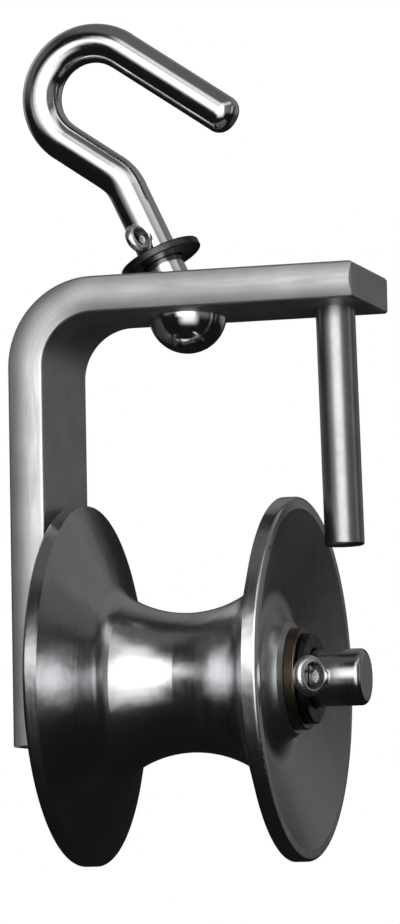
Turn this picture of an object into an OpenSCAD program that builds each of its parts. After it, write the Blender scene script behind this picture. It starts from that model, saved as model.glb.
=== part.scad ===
// Cable pulling block: an open bracket of bent flat bar with a flanged hourglass
// roller on a fixed axle, a guard pin that keeps the cable in, and a swivel hook.
// The row origin is the inside top of the hook's round, where the block hangs.
// +X runs from the leg towards the arm's free end, +Y to the back and +Z up.

/* [Bracket] */
// Width of the flat bar
bar_w = 41.3; // [34:0.1:48]
// Thickness of the flat bar
bar_t = 10.3; // [9:0.1:11.5]
// Height of the crown on the bar's narrow sides, as rolling leaves it
bar_crown = 1; // [0.4:0.1:1.6]
// Rounding along the bar's long edges
bar_edge_r = 0.8; // [0.4:0.1:2]
// Bevel round the bar's two cut ends
bar_end_bevel = 0.6; // [0.3:0.1:1.2]
// Inside radius of the bend between leg and arm
bend_r = 14.5; // [12:0.5:22]
// Height of the cable window, from the arm's underside to the top of the flanges
window_h = 52.8; // [46:0.2:65]
// Leg below the axle centre
leg_tail = 17.5; // [14:0.5:26]
// Gap between the leg and the roller's rim
leg_gap = 3; // [2.6:0.1:5]

/* [Roller] */
// Diameter over the flanges
flange_d = 101.6; // [92:0.2:110]
// Length over the two rim faces
roller_l = 66.4; // [62:0.2:70]
// Width of each rim
rim_w = 4.2; // [4:0.1:7]
// Rounding of the rim edges
rim_edge_r = 1; // [0.5:0.1:1.6]
// Width of the flat ring on each end face
rim_land = 3.3; // [2.4:0.1:6]
// Slope of the flange walls from square to the axle, in degrees
flange_slope = 20; // [14:1:23]
// Diameter at the middle of the waist
waist_d = 39.2; // [38:0.2:44]
// Radius of the hollow along the waist
waist_arc_r = 34; // [28:0.5:38]
// Fillet between waist and flange
waist_fillet_r = 9; // [7:0.5:13]
// Outside diameter of the hub in the cored ends
hub_d = 31.7; // [30:0.1:34]
// Fillet at the foot of the hub
hub_fillet_r = 7; // [5:0.5:8]
// Depth of the hub's ends below the rim faces
hub_recess = 2.8; // [1:0.1:4]
// Bevel round the hub's ends
hub_bevel = 0.8; // [0.4:0.1:1.5]

/* [Bushes] */
// Wall of the flanged bushes
bush_wall = 2.4; // [1.5:0.1:3]
// Diameter of the bush flange
bush_flange_d = 28.6; // [26:0.2:30]
// Thickness of the bush flange
bush_flange_t = 3; // [2:0.1:4]
// Length of a bush inside the hub
bush_l = 25; // [15:0.5:30]

/* [Axle] */
// Axle diameter
axle_d = 15.9; // [14.5:0.1:17]
// Axle beyond the centre of its split pin
axle_tail = 11; // [5:0.1:14]
// Rounding at the axle's free end
axle_edge_r = 1.6; // [0.6:0.1:3]
// Diameter of the collar that the axle seats with against the leg
axle_collar_d = 25.4; // [20:0.1:28]
// Diameter of the turned-down end that is riveted in the leg
axle_tenon_d = 12.7; // [10:0.1:13.5]
// Outside diameter of the axle washer
axle_washer_d = 25.4; // [24:0.1:32]
// Thickness of the axle washer
axle_washer_t = 2.4; // [1.6:0.1:3]
// Free length between the axle washer and its split pin's eye
axle_washer_play = 0.2; // [0.1:0.1:2]
// Shank diameter of the axle's split pin
axle_pin_d = 4; // [3:0.1:5]
// Outside diameter of that pin's eye
axle_eye_d = 11.5; // [9:0.1:13]
// Sideways bend of that eye, in degrees
axle_eye_bend = 28; // [0:1:35]

/* [Guard pin] */
// Diameter of the guard pin
guard_d = 11.1; // [9.5:0.1:12]
// Guard pin's reach past the top of the flanges
guard_lap = 14.2; // [6:0.2:22]
// Gap between the roller's rim face and the guard pin
guard_gap = 5.1; // [3:0.1:9]
// Lean of the guard pin away from the roller, in degrees
guard_lean = 1.1; // [0:0.1:3]
// Guard pin centre to the arm's cut end
guard_inset = 10; // [8:0.1:14]
// Diameter of the turned-down end that is riveted in the arm
guard_tenon_d = 8.7; // [6:0.1:9]
// Rounding at the guard pin's free end
guard_edge_r = 0.8; // [0.3:0.1:2]

/* [Swivel hook] */
// Swivel's centre past the roller's middle, away from the leg
hook_offset = 0.7; // [-3:0.1:3]
// Diameter of the hook's rod
rod_d = 11.1; // [9.5:0.1:11.5]
// Diameter of the forged ball under the arm
ball_d = 22.2; // [21.8:0.1:24]
// Ball centre above the arm's underside
ball_rise = 0.4; // [0:0.1:1]
// Lean of the stem to either side, in degrees
lean = 25; // [20:0.5:26]
// Ball centre to the knee where the stem turns
stem_l = 43.9; // [40:0.1:60]
// Turn at the knee, in degrees
knee_turn = 30.3; // [20:0.1:40]
// Bend radius of the knee at the rod's centre line
knee_r = 14; // [10:0.5:20]
// Knee to the start of the hook's round
shank_l = 20.8; // [18:0.1:30]
// Radius of the hook's round at the rod's centre line
hook_r = 15.4; // [13:0.1:20]
// Straight arm from the round to the tip
tip_l = 39.7; // [25:0.1:45]
// Rounding of the hook's tip
tip_edge_r = 4; // [1:0.1:5]
// Outside diameter of the hook washer
hook_washer_d = 23.8; // [23.4:0.1:30]
// Thickness of the hook washer
hook_washer_t = 2.4; // [1.6:0.1:3]
// Free height between the hook washer and its split pin's eye or legs
hook_washer_play = 0.2; // [0.1:0.1:2]
// Shank diameter of the hook's split pin
hook_pin_d = 3.2; // [2.4:0.1:4]
// Outside diameter of that pin's eye
hook_eye_d = 8.8; // [7:0.1:10]
// Sideways bend of that eye, in degrees
hook_eye_bend = 25; // [0:1:25]

/* [Split pins] */
// Gap between a split pin's eye and the rod that it crosses
eye_stand = 0.4; // [0.2:0.1:1.5]
// Radius to which the axle pin's legs are bent open
axle_leg_r = 8; // [5:0.5:12]
// Radius to which the hook pin's legs are bent open
hook_leg_r = 5; // [4:0.5:8]
// Angle through which the longer leg is bent open, in degrees
leg_spread = 55; // [30:5:70]
// By how much less the shorter leg is bent, in degrees
leg_uneven = 10; // [0:1:20]

/* [Fits] */
// Gap round a riveted end
rivet_gap = 0.03; // [0.02:0.01:0.08]
// Running gap on the axle, on the radius
axle_gap = 0.05; // [0.02:0.01:0.1]
// Gap round a pressed-in bush, on the radius
bush_gap = 0.02; // [0.01:0.01:0.05]
// Running gap between ball and seat, on the radius
ball_gap = 0.08; // [0.03:0.01:0.1]
// End play at each end of the roller
end_play = 0.2; // [0.1:0.05:0.5]
// Gap between a washer's bore and what it sits on, on the radius
washer_gap = 0.4; // [0.2:0.05:0.6]
// Gap between the tipped washer's low edge and the arm
tip_gap = 0.2; // [0.1:0.05:0.5]
// Gap between the leaning stem and the flared hole
stem_gap = 0.4; // [0.2:0.05:0.6]
// Gap round a split pin in its hole, on the radius
pin_gap = 0.15; // [0.05:0.05:0.3]

/* [Hidden] */
$fn = 96;

// A cutter runs this far past the face that it opens
past = 1;
// A bend in the rod is a hair thicker than its straights, which run this far into it
bend_swell = 0.1;
run_in = 0.5;
// The countersink of a riveted end is this much wider than the end, on the diameter
sink_widen = 3;
// Height of the hammered dome on a riveted end
dome_h = 0.5;

// The eye's wire is a little finer than the shank that the pin's two legs form
wire_share = 0.9;
// How far the axle pin's bent eye reaches towards the hub before it is past the washer's rim
axle_wire_r = axle_pin_d * wire_share / 2;
rim_from_eye = axle_washer_d / 2 - axle_d / 2 - eye_stand - axle_wire_r;
eye_run = rim_from_eye / cos(axle_eye_bend) + axle_wire_r * tan(axle_eye_bend);
eye_near = min(max(eye_run, 0), axle_eye_d - axle_wire_r);
axle_eye_reach = max(axle_pin_d / 2, eye_near * sin(axle_eye_bend) + axle_wire_r * cos(axle_eye_bend));
// How far below their centre the hook pin's eye and opened legs reach
hook_leg_drop = hook_leg_r - (hook_leg_r - hook_pin_d / 2) * cos(leg_spread);
hook_pin_reach = max(hook_eye_d / 2, hook_leg_drop);

// Places along the axle, from the leg's outer face
rim_x = bar_t + leg_gap;
roller_mid_x = rim_x + roller_l / 2;
hub_l = roller_l - 2 * hub_recess;
bush_x = roller_mid_x - hub_l / 2 - bush_flange_t;
axle_collar_t = bush_x - end_play - bar_t;
washer_x = roller_mid_x + hub_l / 2 + bush_flange_t + end_play;
axle_pin_x = washer_x + axle_washer_t + axle_washer_play + axle_eye_reach;
axle_end_x = axle_pin_x + axle_tail;
bush_r = axle_d / 2 + axle_gap + bush_wall;
axle_drop = window_h + flange_d / 2;

// Places along the arm
hook_x = roller_mid_x + hook_offset;
guard_x = rim_x + roller_l + guard_gap + guard_d / 2;
arm_l = guard_x + guard_inset;
guard_l = window_h + guard_lap;

// Places along the hook's stem, from the ball's centre
rod_r = rod_d / 2;
arm_top = bar_t - ball_rise;
hook_washer_s = (arm_top + tip_gap + hook_washer_d / 2 * sin(lean)) / cos(lean);
hook_pin_s = hook_washer_s + hook_washer_t + hook_washer_play + hook_pin_reach;
knee_cut = knee_r * tan(knee_turn / 2);

// The arm's hole: a spherical seat below a throat, and a flare above it for the leaning stem
seat_r = ball_d / 2 + ball_gap;
throat_z = arm_top * 0.6;
throat_r = sqrt(seat_r * seat_r - throat_z * throat_z);
flare_r = arm_top * tan(lean) + rod_r / cos(lean) + stem_gap;

// The bar's section: the crown's circle, and the corner circles that touch it and the wide sides
crown_r = (bar_t * bar_t / 4 + bar_crown * bar_crown) / (2 * bar_crown);
corner_side = bar_t / 2 - bar_edge_r;
corner_y = crown_r - sqrt(pow(crown_r - bar_edge_r, 2) - corner_side * corner_side);

// The centre of the hook's round and its inside top, seen from the ball's centre
function ahead(angle, l) = [-sin(angle) * l, cos(angle) * l];
limb_lean = lean + knee_turn;
round_centre = ahead(lean, stem_l) + ahead(limb_lean, shank_l) + ahead(limb_lean - 90, hook_r);
seat_point = [hook_x + round_centre[0], ball_rise + round_centre[1] + hook_r - rod_r];

// The roller's wall line and its fillets, as radius and distance in from the rim face
flange_r = flange_d / 2;
wall_run = [-cos(flange_slope), sin(flange_slope)];
wall_out = [sin(flange_slope), cos(flange_slope)];
rim_corner = [flange_r, rim_w];
waist_centre = [waist_d / 2 + waist_arc_r, roller_l / 2];
// A circle of the fillet's radius that touches the wall line and the waist's arc from inside
fillet_from = rim_corner + wall_out * waist_fillet_r - waist_centre;
fillet_b = fillet_from * wall_run;
fillet_c = fillet_from * fillet_from - pow(waist_arc_r - waist_fillet_r, 2);
fillet_centre = waist_centre + fillet_from + wall_run * (-fillet_b + sqrt(fillet_b * fillet_b - fillet_c));
fillet_foot = fillet_centre - wall_out * waist_fillet_r;
fillet_aim = (fillet_centre - waist_centre) / (waist_arc_r - waist_fillet_r);
fillet_meet = waist_centre + fillet_aim * waist_arc_r;
// A circle that touches the hub and the sloping floor of the cored end
land_r = flange_r - rim_land;
core_centre_r = hub_d / 2 + hub_fillet_r;
core_centre_s = ((land_r - core_centre_r) * sin(flange_slope) - hub_fillet_r) / cos(flange_slope);
core_foot = [core_centre_r, core_centre_s] + wall_out * hub_fillet_r;

// Draws its children, measured from the leg's outer face and the arm's underside, in the row's frame
module in_frame() {
    translate([-seat_point[0], 0, -seat_point[1]]) children();
}

// Lays a shape drawn along +Z on the axle's centre line, along +X
module on_axle(x) {
    in_frame() translate([x, 0, -axle_drop]) rotate([0, 90, 0]) children();
}

// Leans a shape drawn on an upright stem
module on_stem(s) {
    in_frame() translate([hook_x, 0, ball_rise]) rotate([0, -lean, 0]) translate([0, 0, s]) children();
}

// Rectangle from the origin with rounded corners
module round_rect(w, h, r) {
    union() {
        translate([r, 0]) square([w - 2 * r, h]);
        translate([0, r]) square([w, h - 2 * r]);
        for (x = [r, w - r], y = [r, h - r]) translate([x, y]) circle(r);
    }
}

// Round bar along +Z with its far edge rounded
module round_bar(d, l, edge_r) {
    rotate_extrude() union() {
        square([d / 2, l - edge_r]);
        square([d / 2 - edge_r, l]);
        translate([d / 2 - edge_r, l - edge_r]) intersection() {
            circle(edge_r);
            square(edge_r);
        }
    }
}

// Flat washer along +Z
module washer(outer_d, bore_r, t) {
    rotate_extrude() translate([bore_r, 0]) round_rect(outer_d / 2 - bore_r, t, t / 5);
}

// Riveted end of a pin in a plate, along +Z from the shoulder: it fills its countersink and is domed
module riveted_end(d, plate_t) {
    sink_h = sink_widen / 2;
    head_r = d / 2 + sink_h;
    dome_r = (head_r * head_r + dome_h * dome_h) / (2 * dome_h);
    rotate_extrude() union() {
        polygon([[0, 0], [d / 2, 0], [d / 2, plate_t - sink_h], [head_r, plate_t], [0, plate_t]]);
        intersection() {
            translate([0, plate_t + dome_h - dome_r]) circle(dome_r);
            translate([0, plate_t - sink_h]) square([d / 2, sink_h + past]);
        }
        intersection() {
            translate([0, plate_t + dome_h - dome_r]) circle(dome_r);
            translate([0, plate_t]) square([head_r, past]);
        }
    }
}

// The hole that a riveted end fills, run past both faces of the plate
module riveted_hole(d, plate_t) {
    wide_d = d + 2 * rivet_gap;
    sink_h = sink_widen / 2;
    translate([0, 0, -past]) cylinder(d = wide_d, h = plate_t + 2 * past);
    translate([0, 0, plate_t - sink_h])
        cylinder(d1 = wide_d, d2 = wide_d + sink_widen + 2 * past, h = sink_h + past);
}

// Half of a round wire, its flat on the y axis and its back towards +x
module half_wire(d) {
    intersection() {
        circle(d = d);
        translate([0, -d / 2]) square([d / 2, d]);
    }
}

// Split pin along +X through a rod at the origin, with a bent-over eye and opened legs
module split_pin(d, eye_d, eye_bend, leg_r, through_d) {
    wire_d = d * wire_share;
    neck_x = -through_d / 2 - eye_stand - wire_d / 2;
    far_x = through_d / 2 + eye_stand;
    translate([neck_x, 0, 0]) rotate([0, 0, eye_bend]) translate([(wire_d - eye_d) / 2, 0, 0])
        rotate([90, 0, 0]) rotate_extrude() translate([(eye_d - wire_d) / 2, 0]) half_wire(wire_d);
    translate([neck_x, 0, 0]) rotate([0, 90, 0]) cylinder(d = d, h = far_x - neck_x);
    for (side = [0, 1]) mirror([0, 0, side]) translate([far_x, 0, leg_r]) rotate([90, 0, 0])
        rotate([0, 0, -90]) rotate_extrude(angle = leg_spread - side * leg_uneven)
            translate([leg_r, 0]) mirror([1, 0]) half_wire(d);
}

// Rod that runs along +Z and bends in the XZ plane: each step is a length, a turn and its radius
module bent_rod(steps, i = 0) {
    if (i < len(steps)) {
        l = steps[i][0];
        turn = steps[i][1];
        r = steps[i][2];
        side = turn < 0 ? -1 : 1;
        translate([0, 0, -run_in]) cylinder(d = rod_d, h = l + 2 * run_in);
        translate([-side * r, 0, l]) {
            mirror([side < 0 ? 1 : 0, 0, 0]) rotate([90, 0, 0])
                rotate_extrude(angle = abs(turn)) translate([r, 0]) circle(d = rod_d + bend_swell);
            rotate([0, -turn, 0]) translate([side * r, 0, 0]) bent_rod(steps, i + 1);
        }
    }
    if (i == len(steps)) translate([0, 0, -run_in]) round_bar(rod_d, tip_l + run_in, tip_edge_r);
}

// Section of the bar, from its inner wide side at x = 0, with crowned narrow sides
module bar_section() {
    fan = 1.2;
    translate([0, corner_y]) square([bar_t, bar_w - 2 * corner_y]);
    for (side = [0, 1]) translate([0, side * bar_w]) mirror([0, side, 0]) {
        for (x = [bar_edge_r, bar_t - bar_edge_r]) translate([x, corner_y]) circle(bar_edge_r);
        intersection() {
            translate([bar_t / 2, crown_r]) circle(crown_r);
            translate([bar_t / 2, crown_r])
                polygon([[0, 0], [-corner_side * fan, (corner_y - crown_r) * fan],
                         [corner_side * fan, (corner_y - crown_r) * fan]]);
        }
    }
}

// Outline of a bar's cut end with its corners bevelled, open at the sides and the foot
module bevelled_end(w, l) {
    polygon([[-past, -past], [w + past, -past], [w + past, l - past - bar_end_bevel],
             [w - bar_end_bevel, l], [bar_end_bevel, l], [-past, l - past - bar_end_bevel]]);
}

// Straight run of the bar along +Z, its far end bevelled
module bar_run(l) {
    intersection() {
        linear_extrude(l + past) bar_section();
        translate([0, bar_w + past, 0]) rotate([90, 0, 0])
            linear_extrude(bar_w + 2 * past) bevelled_end(bar_t, l);
        translate([-past, 0, 0]) rotate([90, 0, 90]) linear_extrude(bar_t + 2 * past) bevelled_end(bar_w, l);
    }
}

// Leg, bend and arm in one section, from the leg's outer face and the arm's underside
module bent_bar() {
    outer_r = bend_r + bar_t;
    translate([0, -bar_w / 2, -bend_r]) mirror([0, 0, 1]) bar_run(axle_drop + leg_tail - bend_r);
    translate([outer_r, bar_w / 2, -bend_r]) rotate([90, 0, 0]) rotate([0, 0, 90])
        rotate_extrude(angle = 90) translate([bend_r, 0]) bar_section();
    translate([outer_r, -bar_w / 2, bar_t]) rotate([0, 90, 0]) bar_run(arm_l - outer_r);
}

// The space that the ball, the leaning stem and their gaps need in the arm
module swivel_hole() {
    flare_h = arm_top - throat_z;
    widen = (flare_r - throat_r) / flare_h;
    sphere(seat_r);
    translate([0, 0, throat_z - past])
        cylinder(r1 = throat_r - widen * past, r2 = flare_r + widen * past, h = flare_h + 2 * past);
}

module frame_bracket() {
    color("gainsboro") in_frame() difference() {
        bent_bar();
        translate([hook_x, 0, ball_rise]) swivel_hole();
        translate([guard_x, 0, 0]) riveted_hole(guard_tenon_d, bar_t);
        translate([bar_t, 0, -axle_drop]) rotate([0, -90, 0]) riveted_hole(axle_tenon_d, bar_t);
    }
}

module guard_pin() {
    color("silver") in_frame() translate([guard_x, 0, 0]) {
        difference() {
            rotate([0, 180 - guard_lean, 0]) translate([0, 0, -past])
                round_bar(guard_d, guard_l + past, guard_edge_r);
            translate([-guard_d, -guard_d, 0]) cube([2 * guard_d, 2 * guard_d, 2 * past]);
        }
        riveted_end(guard_tenon_d, bar_t);
    }
}

module axle_pin() {
    color("silver") difference() {
        on_axle(bar_t) {
            round_bar(axle_d, axle_end_x - bar_t, axle_edge_r);
            round_bar(axle_collar_d, axle_collar_t, axle_collar_t / 4);
            mirror([0, 0, 1]) riveted_end(axle_tenon_d, bar_t);
        }
        on_axle(axle_pin_x) rotate([90, 0, 0])
            cylinder(d = axle_pin_d + 2 * pin_gap, h = axle_d + 2 * past, center = true);
    }
}

module axle_washer() {
    color("lightgray") on_axle(washer_x)
        washer(axle_washer_d, axle_d / 2 + washer_gap, axle_washer_t);
}

module axle_split_pin() {
    color("whitesmoke") in_frame() translate([axle_pin_x, 0, -axle_drop])
        rotate([0, 0, 90]) split_pin(axle_pin_d, axle_eye_d, -axle_eye_bend, axle_leg_r, axle_d);
}

// The dished end's section, as radius and distance in from the rim face
module core_cut() {
    difference() {
        union() {
            polygon([[hub_d / 2, -past], [land_r + past / tan(flange_slope), -past], [land_r, 0],
                     core_foot, [core_centre_r, core_centre_s], [hub_d / 2, core_centre_s]]);
            translate([core_centre_r, core_centre_s]) circle(hub_fillet_r);
        }
        translate([0, -2 * past]) square([hub_d / 2, 3 * hub_fillet_r]);
    }
}

// What the hub's end leaves out below the rim face, with the bevel round it
module hub_end_cut() {
    polygon([[-past, -past], [hub_d / 2 + past, -past], [hub_d / 2 + past, hub_recess + past + hub_bevel],
             [hub_d / 2 - hub_bevel, hub_recess], [-past, hub_recess]]);
}

// The groove's section on one side of its middle
module groove_cut() {
    polygon([fillet_foot, rim_corner, rim_corner + [past, 0], [flange_r + past, roller_l / 2],
             [waist_centre[0], roller_l / 2], fillet_centre]);
    translate(fillet_centre) circle(waist_fillet_r);
    intersection() {
        translate(waist_centre) circle(waist_arc_r);
        polygon([fillet_meet, fillet_centre, [waist_centre[0], fillet_centre[1]],
                 [waist_centre[0], roller_l / 2], [0, roller_l / 2], [0, fillet_meet[1]]]);
    }
}

// One half of the roller's section, with the rim's outer edge rounded
module half_section() {
    difference() {
        union() {
            translate([bush_r + bush_gap, 0])
                square([flange_r - rim_edge_r - bush_r - bush_gap, roller_l / 2]);
            translate([0, rim_edge_r]) square([flange_r, roller_l / 2 - rim_edge_r]);
            translate([flange_r - rim_edge_r, rim_edge_r]) circle(rim_edge_r);
        }
        translate([-past, -past]) square([bush_r + bush_gap + past, roller_l]);
        hub_end_cut();
        core_cut();
        groove_cut();
    }
}

module roller() {
    color("dimgray") on_axle(roller_mid_x) for (side = [0, 1]) mirror([0, 0, side])
        translate([0, 0, -roller_l / 2]) rotate_extrude() half_section();
}

// Flanged bush, its flange against z = 0 and its sleeve along +Z
module flanged_bush() {
    bore_r = axle_d / 2 + axle_gap;
    rotate_extrude() translate([bore_r, 0]) union() {
        square([bush_wall, bush_flange_t + bush_l]);
        round_rect(bush_flange_d / 2 - bore_r, bush_flange_t, 0.4);
    }
}

module inner_bush() {
    color("peru") on_axle(bush_x) flanged_bush();
}

module outer_bush() {
    color("peru") on_axle(washer_x - end_play) mirror([0, 0, 1]) flanged_bush();
}

module hook() {
    color("silver") on_stem(0) difference() {
        union() {
            sphere(d = ball_d);
            bent_rod([[stem_l - knee_cut, knee_turn, knee_r], [shank_l - knee_cut, -180, hook_r]]);
        }
        translate([0, 0, hook_pin_s]) rotate([90, 0, 0])
            cylinder(d = hook_pin_d + 2 * pin_gap, h = rod_d + 2 * past, center = true);
    }
}

module hook_washer() {
    color("lightgray") on_stem(hook_washer_s) washer(hook_washer_d, rod_r + washer_gap, hook_washer_t);
}

module hook_split_pin() {
    color("whitesmoke") on_stem(hook_pin_s)
        rotate([0, 0, 90]) split_pin(hook_pin_d, hook_eye_d, -hook_eye_bend, hook_leg_r, rod_d);
}

frame_bracket();
guard_pin();
axle_pin();
axle_washer();
axle_split_pin();
roller();
inner_bush();
outer_bush();
hook();
hook_washer();
hook_split_pin();
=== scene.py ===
# %% [markdown]
# A cable pulling block hangs by its hook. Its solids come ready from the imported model,
# in metres, so this scene adds what a camera sees: finishes, light and a view.

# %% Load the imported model
import math
import bpy
from mathutils import Matrix, Vector


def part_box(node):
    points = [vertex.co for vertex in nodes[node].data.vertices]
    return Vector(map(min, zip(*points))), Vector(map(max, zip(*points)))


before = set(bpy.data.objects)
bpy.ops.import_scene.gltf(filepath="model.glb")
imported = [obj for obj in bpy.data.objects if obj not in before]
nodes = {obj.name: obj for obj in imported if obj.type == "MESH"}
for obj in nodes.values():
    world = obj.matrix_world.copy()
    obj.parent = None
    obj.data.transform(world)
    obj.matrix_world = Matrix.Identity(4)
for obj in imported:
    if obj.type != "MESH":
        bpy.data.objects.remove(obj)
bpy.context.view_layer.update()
scene = bpy.context.scene
print("nodes:", len(nodes))

# %% [markdown]
# The camera is the long lens of the photograph. It stands to the front right of the block
# and a little below its middle, so the arm's underside and the ball show.

# %% Camera
CAMERA_PLACE = Vector((0.40354, -1.258, -0.24804))
CAMERA_YAW = math.radians(16.55)
CAMERA_PITCH = math.radians(5.74)
CAMERA_ROLL = math.radians(-1.08)
LENS_MM = 182.6
SENSOR_MM = 36


def camera_axes(yaw, pitch, roll):
    """The camera's right, up and backward directions."""
    forward = Vector((-math.sin(yaw) * math.cos(pitch), math.cos(yaw) * math.cos(pitch), math.sin(pitch)))
    level = Vector((math.cos(yaw), math.sin(yaw), 0))
    upright = level.cross(forward)
    right = level * math.cos(roll) + upright * math.sin(roll)
    up = upright * math.cos(roll) - level * math.sin(roll)
    return right, up, -forward


lens = bpy.data.cameras.new("camera")
lens.sensor_fit = "VERTICAL"
lens.sensor_height = SENSOR_MM
lens.lens = LENS_MM
lens.clip_start = 0.01
camera = bpy.data.objects.new("camera", lens)
turn = Matrix(camera_axes(CAMERA_YAW, CAMERA_PITCH, CAMERA_ROLL)).transposed().to_4x4()
camera.matrix_world = Matrix.Translation(CAMERA_PLACE) @ turn
scene.collection.objects.link(camera)
scene.camera = camera
scene.view_settings.view_transform = "Standard"
print("camera lens:", LENS_MM, "mm")

# %% [markdown]
# The picture's background is white, and bright metal shows its surroundings more than
# itself. The world is a plain grey light for what is lit by it, and pure white for the
# camera and for mirrored rays. The light tent below stands before it in the metal's mirror.

# %% World
world = bpy.data.worlds.new("white_room")
scene.world = world
world.use_nodes = True
world_nodes = world.node_tree.nodes
world_links = world.node_tree.links
world_nodes.clear()
AMBIENT = 0.3


def world_node(kind, **values):
    """A node of the world, with values for its properties."""
    made = world_nodes.new(kind)
    for name, value in values.items():
        setattr(made, name, value)
    return made


path = world_node("ShaderNodeLightPath")
seen = world_node("ShaderNodeMath", operation="MAXIMUM")
seen_any = world_node("ShaderNodeMath", operation="MAXIMUM")
strength = world_node("ShaderNodeMapRange")
background = world_node("ShaderNodeBackground")
output = world_node("ShaderNodeOutputWorld")
strength.inputs["To Min"].default_value = AMBIENT
strength.inputs["To Max"].default_value = 1
background.inputs["Color"].default_value = (1, 1, 1, 1)
world_links.new(path.outputs["Is Camera Ray"], seen.inputs[0])
world_links.new(path.outputs["Is Glossy Ray"], seen.inputs[1])
world_links.new(seen.outputs[0], seen_any.inputs[0])
world_links.new(path.outputs["Is Transmission Ray"], seen_any.inputs[1])
world_links.new(seen_any.outputs[0], strength.inputs["Value"])
world_links.new(strength.outputs["Result"], background.inputs["Strength"])
world_links.new(background.outputs["Background"], output.inputs["Surface"])
print("world light for matt surfaces:", AMBIENT)

# %% [markdown]
# Shader nodes are wired by a few short functions, so that a pattern reads like a formula. They
# serve the floor and the light tent first, and the metals after them.

# %% Helpers for shader nodes


def new_group(name, sockets_in, sockets_out):
    """An empty shader node group with float sockets and the defaults given for them."""
    tree = bpy.data.node_groups.new(name, "ShaderNodeTree")
    for label, value in sockets_in.items():
        socket = tree.interface.new_socket(label, in_out="INPUT", socket_type="NodeSocketFloat")
        socket.default_value = value
    for label in sockets_out:
        tree.interface.new_socket(label, in_out="OUTPUT", socket_type="NodeSocketFloat")
    start = tree.nodes.new("NodeGroupInput")
    end = tree.nodes.new("NodeGroupOutput")
    return tree, start.outputs, end.inputs


def give(tree, socket, value):
    """Links an output to a socket, or sets a plain value on it."""
    if isinstance(value, bpy.types.NodeSocket):
        tree.links.new(value, socket)
    else:
        socket.default_value = value


def maths(tree, operation, *values, clamp=False):
    """The result of a Math node."""
    node = tree.nodes.new("ShaderNodeMath")
    node.operation = operation
    node.use_clamp = clamp
    for place, value in enumerate(values):
        give(tree, node.inputs[place], value)
    return node.outputs[0]


def vector(tree, x, y, z):
    """The result of a Combine XYZ node."""
    node = tree.nodes.new("ShaderNodeCombineXYZ")
    for place, value in enumerate((x, y, z)):
        give(tree, node.inputs[place], value)
    return node.outputs[0]


def place_on_piece(tree):
    """Object coordinates, apart as X, Y and Z in metres."""
    coords = tree.nodes.new("ShaderNodeTexCoord")
    apart = tree.nodes.new("ShaderNodeSeparateXYZ")
    tree.links.new(coords.outputs["Object"], apart.inputs[0])
    return coords.outputs["Object"], apart.outputs


def noise(tree, place, scale, detail=3.0):
    """Noise of about 0.5 on average that repeats nowhere."""
    node = tree.nodes.new("ShaderNodeTexNoise")
    give(tree, node.inputs["Vector"], place)
    give(tree, node.inputs["Scale"], scale)
    node.inputs["Detail"].default_value = detail
    return node.outputs["Fac"]


def ramp(tree, value, low, high):
    """0 below the low value, 1 above the high one, straight in between."""
    node = tree.nodes.new("ShaderNodeMapRange")
    give(tree, node.inputs["Value"], value)
    node.inputs["From Min"].default_value = low
    node.inputs["From Max"].default_value = high
    return node.outputs["Result"]


print("node helpers ready")

# %% [markdown]
# The block hangs well above a plain pale floor. The camera looks slightly up, so the floor
# shows only from other sides, where it takes the block's soft shadow. It grows paler with the
# distance until it meets the white background without a line, as a studio's cove does. That
# paleness is a glow that only the camera and mirrored rays see, so it lights nothing.

# %% Floor
FLOOR_HEIGHT = -0.8
FLOOR_REACH = 12
FLOOR_GLOW = 0.75
FLOOR_NEAR_SHARE = 0.6
FLOOR_NEAR = 1.0
FLOOR_FAR = 6.0


def flat(name, corners):
    """An object of one flat face."""
    mesh = bpy.data.meshes.new(name)
    mesh.from_pydata(corners, [], [tuple(range(len(corners)))])
    made = bpy.data.objects.new(name, mesh)
    scene.collection.objects.link(made)
    return made


def rectangle(name, width, height):
    """A flat rectangle about the origin that faces along +Z."""
    half_w = width / 2
    half_h = height / 2
    return flat(name, [(-half_w, -half_h, 0), (half_w, -half_h, 0), (half_w, half_h, 0), (-half_w, half_h, 0)])


def plain(name, tone, glow=0.0):
    """A matt material of a grey tone that also glows where a strength is given."""
    made = bpy.data.materials.new(name)
    made.use_nodes = True
    shader = made.node_tree.nodes["Principled BSDF"]
    shader.inputs["Base Color"].default_value = (tone, tone, tone, 1)
    shader.inputs["Roughness"].default_value = 1
    shader.inputs["Specular IOR Level"].default_value = 0
    shader.inputs["Emission Color"].default_value = (1, 1, 1, 1)
    shader.inputs["Emission Strength"].default_value = glow
    return made


floor = rectangle("floor", 2 * FLOOR_REACH, 2 * FLOOR_REACH)
floor.location = (0, 0, FLOOR_HEIGHT)
pale_floor = plain("pale_floor", 0.9, FLOOR_GLOW)
floor.data.materials.append(pale_floor)
floor_tree = pale_floor.node_tree
_, (x, y, z) = place_on_piece(floor_tree)
reach = maths(floor_tree, "SQRT", maths(floor_tree, "ADD", maths(floor_tree, "MULTIPLY", x, x),
                                        maths(floor_tree, "MULTIPLY", y, y)))
share = maths(floor_tree, "MULTIPLY_ADD", ramp(floor_tree, reach, FLOOR_NEAR, FLOOR_FAR),
              1 - FLOOR_NEAR_SHARE, FLOOR_NEAR_SHARE)
ray = floor_tree.nodes.new("ShaderNodeLightPath").outputs
seen_through = maths(floor_tree, "MAXIMUM", ray["Is Glossy Ray"], ray["Is Transmission Ray"])
seen_at_all = maths(floor_tree, "MAXIMUM", ray["Is Camera Ray"], seen_through)
share = maths(floor_tree, "MULTIPLY", share, seen_at_all)
glow_input = floor_tree.nodes["Principled BSDF"].inputs["Emission Color"]
give(floor_tree, glow_input, vector(floor_tree, share, share, share))
print("floor at", FLOOR_HEIGHT, "m")

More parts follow.
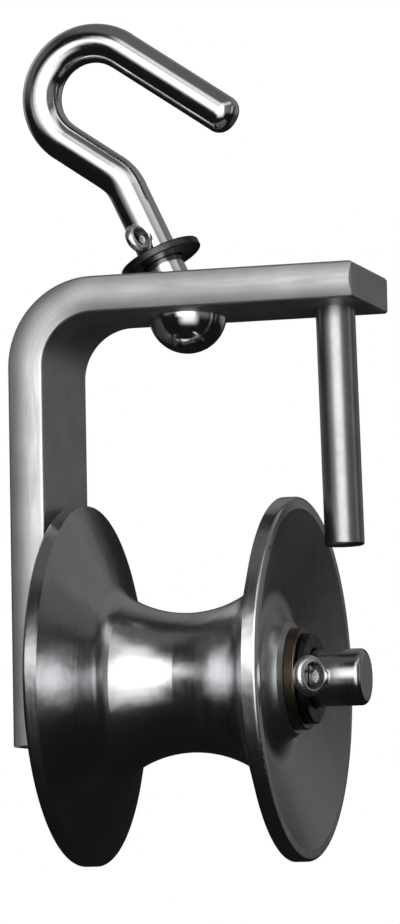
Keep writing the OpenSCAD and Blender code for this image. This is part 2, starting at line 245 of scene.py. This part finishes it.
# %% [markdown]
# Bright metal is lit by what it mirrors, so a photographer hangs a tent round it and lights it
# from outside: one broad soft field in front, dimmer cloth above and beside it, a narrow edge
# light at the right, and dark cloth below and behind, which gives rods their black outlines.
# The tent glows by a pattern of soft boxes over its directions, and only mirrored rays see it.

# %% Light tent that only mirrors see
MIDDLE = Vector((0.01, 0, -0.11))
TENT_REACH = 1.5
TENT_DEPTH = 0.62
TENT_STEP = 10
TENT_PEAK = 4.0
TENT_DARK = 0.01
SOFT_BOXES = {
    # azimuth, half its width and its soft edge; elevation, half its height and its soft edge; strength
    "key": (12, 26, 14, 14, 20, 14, 3.0),
    "key_low": (20, 24, 20, -17, 12, 16, 1.4),
    "left_fringe": (-25, 11, 10, 12, 7, 12, 1.2),
    "left_tail": (-46, 10, 10, 8, 8, 10, 0.35),
    "high": (20, 20, 14, 44, 9, 10, 0.5),
    "high_right": (52, 50, 16, 46, 9, 12, 0.9),
    "right": (62, 22, 16, 10, 20, 14, 0.2),
    "right_edge": (100, 9, 8, 8, 18, 10, 0.5),
    "back_right": (145, 18, 14, 6, 12, 12, 0.25),
    "back_high": (180, 70, 20, 38, 18, 12, 0.22),
    "back_left": (-127, 17, 14, 20, 20, 14, 0.3),
    "left_high": (-85, 30, 20, 32, 18, 14, 0.12),
    "top": (0, 200, 10, 80, 22, 14, 0.14),
}


def toward(azimuth, elevation, distance):
    """A place round the block: azimuth 0 is in front of it and +90 on its right."""
    a = math.radians(azimuth)
    e = math.radians(elevation)
    return MIDDLE + Vector((math.sin(a) * math.cos(e), -math.cos(a) * math.cos(e), math.sin(e))) * distance


def tent_mesh():
    """A dome round the block with a flat bottom above the floor."""
    columns = 360 // TENT_STEP
    rows = 180 // TENT_STEP
    points = []
    for row in range(rows + 1):
        elevation = -90 + TENT_STEP * row
        sink = math.sin(math.radians(-elevation))
        distance = min(TENT_REACH, TENT_DEPTH / sink) if sink > 0 else TENT_REACH
        points += [toward(TENT_STEP * column, elevation, distance) for column in range(columns)]
    faces = []
    for row in range(rows):
        for column in range(columns):
            beside = (column + 1) % columns
            low = row * columns
            faces.append((low + column, low + columns + column, low + columns + beside, low + beside))
    mesh = bpy.data.meshes.new("light_tent")
    mesh.from_pydata(points, [], faces)
    return mesh


def soft(tree, value, middle, half, edge):
    """1 within half a width of the middle angle, falling to 0 over the soft edge; angles in degrees."""
    apart = maths(tree, "ABSOLUTE", maths(tree, "WRAP", maths(tree, "SUBTRACT", value, middle), 180, -180))
    return maths(tree, "SUBTRACT", 1, ramp(tree, apart, half - edge / 2, half + edge / 2))


tent = bpy.data.objects.new("light_tent", tent_mesh())
scene.collection.objects.link(tent)
cloth = plain("tent_cloth", 0, TENT_PEAK)
tent.data.materials.append(cloth)
cloth_tree = cloth.node_tree
_, (x, y, z) = place_on_piece(cloth_tree)
x = maths(cloth_tree, "SUBTRACT", x, MIDDLE[0])
z = maths(cloth_tree, "SUBTRACT", z, MIDDLE[2])
reach = maths(cloth_tree, "SQRT", maths(cloth_tree, "ADD", maths(cloth_tree, "MULTIPLY", x, x),
                                        maths(cloth_tree, "MULTIPLY", y, y)))
azimuth = maths(cloth_tree, "DEGREES", maths(cloth_tree, "ARCTAN2", x, maths(cloth_tree, "MULTIPLY", y, -1)))
elevation = maths(cloth_tree, "DEGREES", maths(cloth_tree, "ARCTAN2", z, reach))
glow = TENT_DARK
for wide, half_w, edge_w, high, half_h, edge_h, strength_here in SOFT_BOXES.values():
    field = maths(cloth_tree, "MULTIPLY", soft(cloth_tree, azimuth, wide, half_w, edge_w),
                  soft(cloth_tree, elevation, high, half_h, edge_h))
    glow = maths(cloth_tree, "MULTIPLY_ADD", field, strength_here, glow)
glow = maths(cloth_tree, "DIVIDE", glow, TENT_PEAK)
give(cloth_tree, cloth_tree.nodes["Principled BSDF"].inputs["Emission Color"], vector(cloth_tree, glow, glow, glow))
tent.visible_camera = False
tent.visible_diffuse = False
tent.visible_transmission = False
tent.visible_shadow = False
print("tent with", len(SOFT_BOXES), "soft boxes")

# %% [markdown]
# One plain lamp over the front lights the floor alone and draws the block's soft shadow there.

# %% Lamp for the floor
FLOOR_LAMP_SIZE = 1.0
FLOOR_LAMP_POWER = 18
light = bpy.data.lights.new("lamp_floor", "AREA")
light.size = FLOOR_LAMP_SIZE
light.energy = FLOOR_LAMP_POWER
lamp = bpy.data.objects.new("lamp_floor", light)
lamp_place = toward(20, 65, 1.4)
lamp_aim = (lamp_place - MIDDLE).to_track_quat("Z", "Y")
lamp.matrix_world = Matrix.Translation(lamp_place) @ lamp_aim.to_matrix().to_4x4()
lamp.visible_glossy = False
scene.collection.objects.link(lamp)
print("floor lamp:", FLOOR_LAMP_POWER, "W")

# %% [markdown]
# Metal looks real through what breaks it up: a value that drifts over some centimetres, fine
# marks left by rolling or by the lathe, and edges worn bright. Each kind of mark is a node
# group. It reads Object coordinates, so a mark stays on its piece in every pose.

# %% [markdown]
# Forged and plated pieces have no direction. Two plain noises do: a fine one for the skin and a
# broad one for the slight unevenness of a forging.

# %% Group of uneven skin
uneven, given, out = new_group("uneven_skin", {"Scale": 100}, ["Fine", "Broad"])
whole, _ = place_on_piece(uneven)
give(uneven, out["Broad"], noise(uneven, whole, given["Scale"]))
give(uneven, out["Fine"], noise(uneven, whole, maths(uneven, "MULTIPLY", given["Scale"], 9)))
print("group:", uneven.name)

# %% [markdown]
# Rolling leaves its marks along the bar, and they go round the bend with it. The distance from
# the bend's centre line, taken only where the bar turns, runs across the bar's thickness in leg,
# bend and arm alike. Where it and the width both come near their ends, the long edges are.

# %% Group of marks along the bar
BAR_OUTER_R = 0.0248
BAR_T = 0.0103
bar_low, bar_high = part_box("frame_bracket")
bend_x = bar_low[0] + BAR_OUTER_R
bend_z = bar_high[2] - BAR_OUTER_R
bar_half_w = (bar_high[1] - bar_low[1]) / 2
along_bar, given, out = new_group("along_bar", {"Scale": 100}, ["Fine", "Broad", "Edge"])
whole, (x, y, z) = place_on_piece(along_bar)
before = maths(along_bar, "MAXIMUM", maths(along_bar, "SUBTRACT", bend_x, x), 0)
above = maths(along_bar, "MAXIMUM", maths(along_bar, "SUBTRACT", z, bend_z), 0)
across = maths(along_bar, "SQRT", maths(along_bar, "ADD", maths(along_bar, "MULTIPLY", before, before),
                                        maths(along_bar, "MULTIPLY", above, above)))
length = maths(along_bar, "MULTIPLY", maths(along_bar, "SUBTRACT", x, z), 0.06)
lines = vector(along_bar, across, y, length)
give(along_bar, out["Fine"], noise(along_bar, lines, maths(along_bar, "MULTIPLY", given["Scale"], 18), 2))
give(along_bar, out["Broad"], noise(along_bar, whole, given["Scale"]))
middle_r = BAR_OUTER_R - BAR_T / 2
off_middle = maths(along_bar, "ABSOLUTE", maths(along_bar, "SUBTRACT", across, middle_r))
near_face = ramp(along_bar, off_middle, BAR_T / 2 - 0.0012, BAR_T / 2 - 0.0002)
near_side = ramp(along_bar, maths(along_bar, "ABSOLUTE", y), bar_half_w - 0.0026, bar_half_w - 0.0010)
give(along_bar, out["Edge"], maths(along_bar, "MULTIPLY", near_face, near_side))
print("group:", along_bar.name, "with the bend's centre at", round(bend_x, 5), round(bend_z, 5))

# %% [markdown]
# A lathe leaves fine rings round the axle's line. Place along the axle and distance from it are
# enough to draw them on walls, rims and end faces. The roller's dished ends stay as cast: they
# lie nearer the end than the middle of the flange's wall, and inside its flat ring.

# %% Group of rings round the axle
FLANGE_R = 0.0508
WALL_SLOPE = math.tan(math.radians(20))
DISH_R = 0.0475
DISH_WALL = 0.0027
roller_low, roller_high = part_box("roller")
axle_z = (roller_low[2] + roller_high[2]) / 2
roller_x = (roller_low[0] + roller_high[0]) / 2
roller_half = (roller_high[0] - roller_low[0]) / 2
turned, given, out = new_group("turned_rings", {"Scale": 100}, ["Fine", "Broad", "Edge", "Cast"])
whole, (x, y, z) = place_on_piece(turned)
drop = maths(turned, "SUBTRACT", z, axle_z)
radius = maths(turned, "SQRT", maths(turned, "ADD", maths(turned, "MULTIPLY", y, y),
                                     maths(turned, "MULTIPLY", drop, drop)))
rings = vector(turned, x, radius, 0.0)
give(turned, out["Fine"], noise(turned, rings, maths(turned, "MULTIPLY", given["Scale"], 22), 2))
give(turned, out["Broad"], noise(turned, whole, given["Scale"]))
give(turned, out["Edge"], ramp(turned, radius, FLANGE_R - 0.0008, FLANGE_R - 0.0001))
off_end = maths(turned, "SUBTRACT", roller_half, maths(turned, "ABSOLUTE", maths(turned, "SUBTRACT", x, roller_x)))
floor_depth = maths(turned, "MULTIPLY", maths(turned, "SUBTRACT", DISH_R, radius), WALL_SLOPE)
behind = maths(turned, "SUBTRACT", off_end, floor_depth)
in_dish = maths(turned, "SUBTRACT", 1, ramp(turned, behind, DISH_WALL - 0.0002, DISH_WALL + 0.0002))
in_ring = maths(turned, "SUBTRACT", 1, ramp(turned, radius, DISH_R - 0.0003, DISH_R + 0.0001))
give(turned, out["Cast"], maths(turned, "MULTIPLY", in_dish, in_ring))
print("group:", turned.name, "with the axle at z", round(axle_z, 5))

# %% [markdown]
# One function builds every metal from such a pattern: the broad value drives the colour, the
# fine one the roughness, and both together the height. A zone mixes in another colour and
# roughness where the pattern's mask says so, as on a worn edge or a cast face.

# %% Metals


def mixed(tree, kind, mask, first, second):
    """A Mix node's result between two colours or two values."""
    node = tree.nodes.new("ShaderNodeMix")
    node.data_type = kind
    give(tree, node.inputs["Factor"], mask)
    slots = [slot for slot in node.inputs if slot.enabled and slot.name in ("A", "B")]
    give(tree, slots[0], first)
    give(tree, slots[1], second)
    return [slot for slot in node.outputs if slot.enabled][0]


def metal(name, pattern, scale, dark, pale, rough, spread, fine_height, broad_height, zones=(),
          metallic=1.0, coat=0.0):
    """A metal whose colour, roughness and height follow a pattern; heights are in metres."""
    material = bpy.data.materials.new(name)
    material.use_nodes = True
    tree = material.node_tree
    shader = tree.nodes["Principled BSDF"]
    marks = tree.nodes.new("ShaderNodeGroup")
    marks.node_tree = pattern
    marks.inputs["Scale"].default_value = scale
    fine = marks.outputs["Fine"]
    broad = marks.outputs["Broad"]
    colour = mixed(tree, "RGBA", ramp(tree, broad, 0.35, 0.65), (*dark, 1), (*pale, 1))
    roughness = maths(tree, "MULTIPLY_ADD", ramp(tree, fine, 0.3, 0.7), 2 * spread, rough - spread)
    for mask, zone_colour, zone_rough in zones:
        share = maths(tree, "MULTIPLY", marks.outputs[mask], ramp(tree, broad, 0.2, 0.45))
        if mask == "Cast":
            share = marks.outputs[mask]
        colour = mixed(tree, "RGBA", share, colour, (*zone_colour, 1))
        roughness = mixed(tree, "FLOAT", share, roughness, zone_rough)
    relief = tree.nodes.new("ShaderNodeBump")
    relief.inputs["Distance"].default_value = 0.001
    fine_share = maths(tree, "MULTIPLY", fine, fine_height / 0.001)
    give(tree, relief.inputs["Height"], maths(tree, "MULTIPLY_ADD", broad, broad_height / 0.001, fine_share))
    give(tree, shader.inputs["Base Color"], colour)
    give(tree, shader.inputs["Roughness"], roughness)
    give(tree, shader.inputs["Normal"], relief.outputs["Normal"])
    shader.inputs["Metallic"].default_value = metallic
    shader.inputs["Coat Weight"].default_value = coat
    shader.inputs["Coat Roughness"].default_value = 0.12
    return material


def grey(tone):
    """A neutral colour with the faint blue of plated steel."""
    return (tone, tone, tone * 1.02)


def dress(material, *names):
    """Gives CAD nodes a finish in every slot."""
    for name in names:
        mesh = nodes[name].data
        mesh.materials.clear()
        mesh.materials.append(material)
    print(material.name, "on", ", ".join(names))


# %% Finishes of the pieces
dress(metal("rolled_bar", along_bar, 90, grey(0.43), grey(0.50), 0.48, 0.06, 0.000004, 0.00003,
            zones=[("Edge", grey(0.55), 0.34)]), "frame_bracket")
dress(metal("turned_rod", uneven, 90, grey(0.29), grey(0.35), 0.32, 0.04, 0.000002, 0.00001), "guard_pin")
dress(metal("turned_axle", turned, 90, grey(0.47), grey(0.53), 0.16, 0.04, 0.000002, 0.00001), "axle_pin")
dress(metal("bright_plating", uneven, 70, grey(0.62), grey(0.70), 0.12, 0.03, 0.000002, 0.00003), "hook")
dress(metal("zinc_wire", uneven, 200, grey(0.72), grey(0.80), 0.28, 0.05, 0.000003, 0.00001),
      "axle_split_pin", "hook_split_pin")
dress(metal("blackened_steel", uneven, 250, grey(0.05), grey(0.09), 0.35, 0.08, 0.000003, 0.00001),
      "axle_washer", "hook_washer")
dress(metal("turned_iron", turned, 55, grey(0.52), grey(0.58), 0.22, 0.03, 0.000001, 0.0004,
            zones=[("Cast", grey(0.40), 0.34)]), "roller")
dress(metal("oiled_bronze", turned, 120, (0.17, 0.14, 0.10), (0.25, 0.20, 0.14), 0.3, 0.06, 0.000001, 0.00001),
      "inner_bush", "outer_bush")
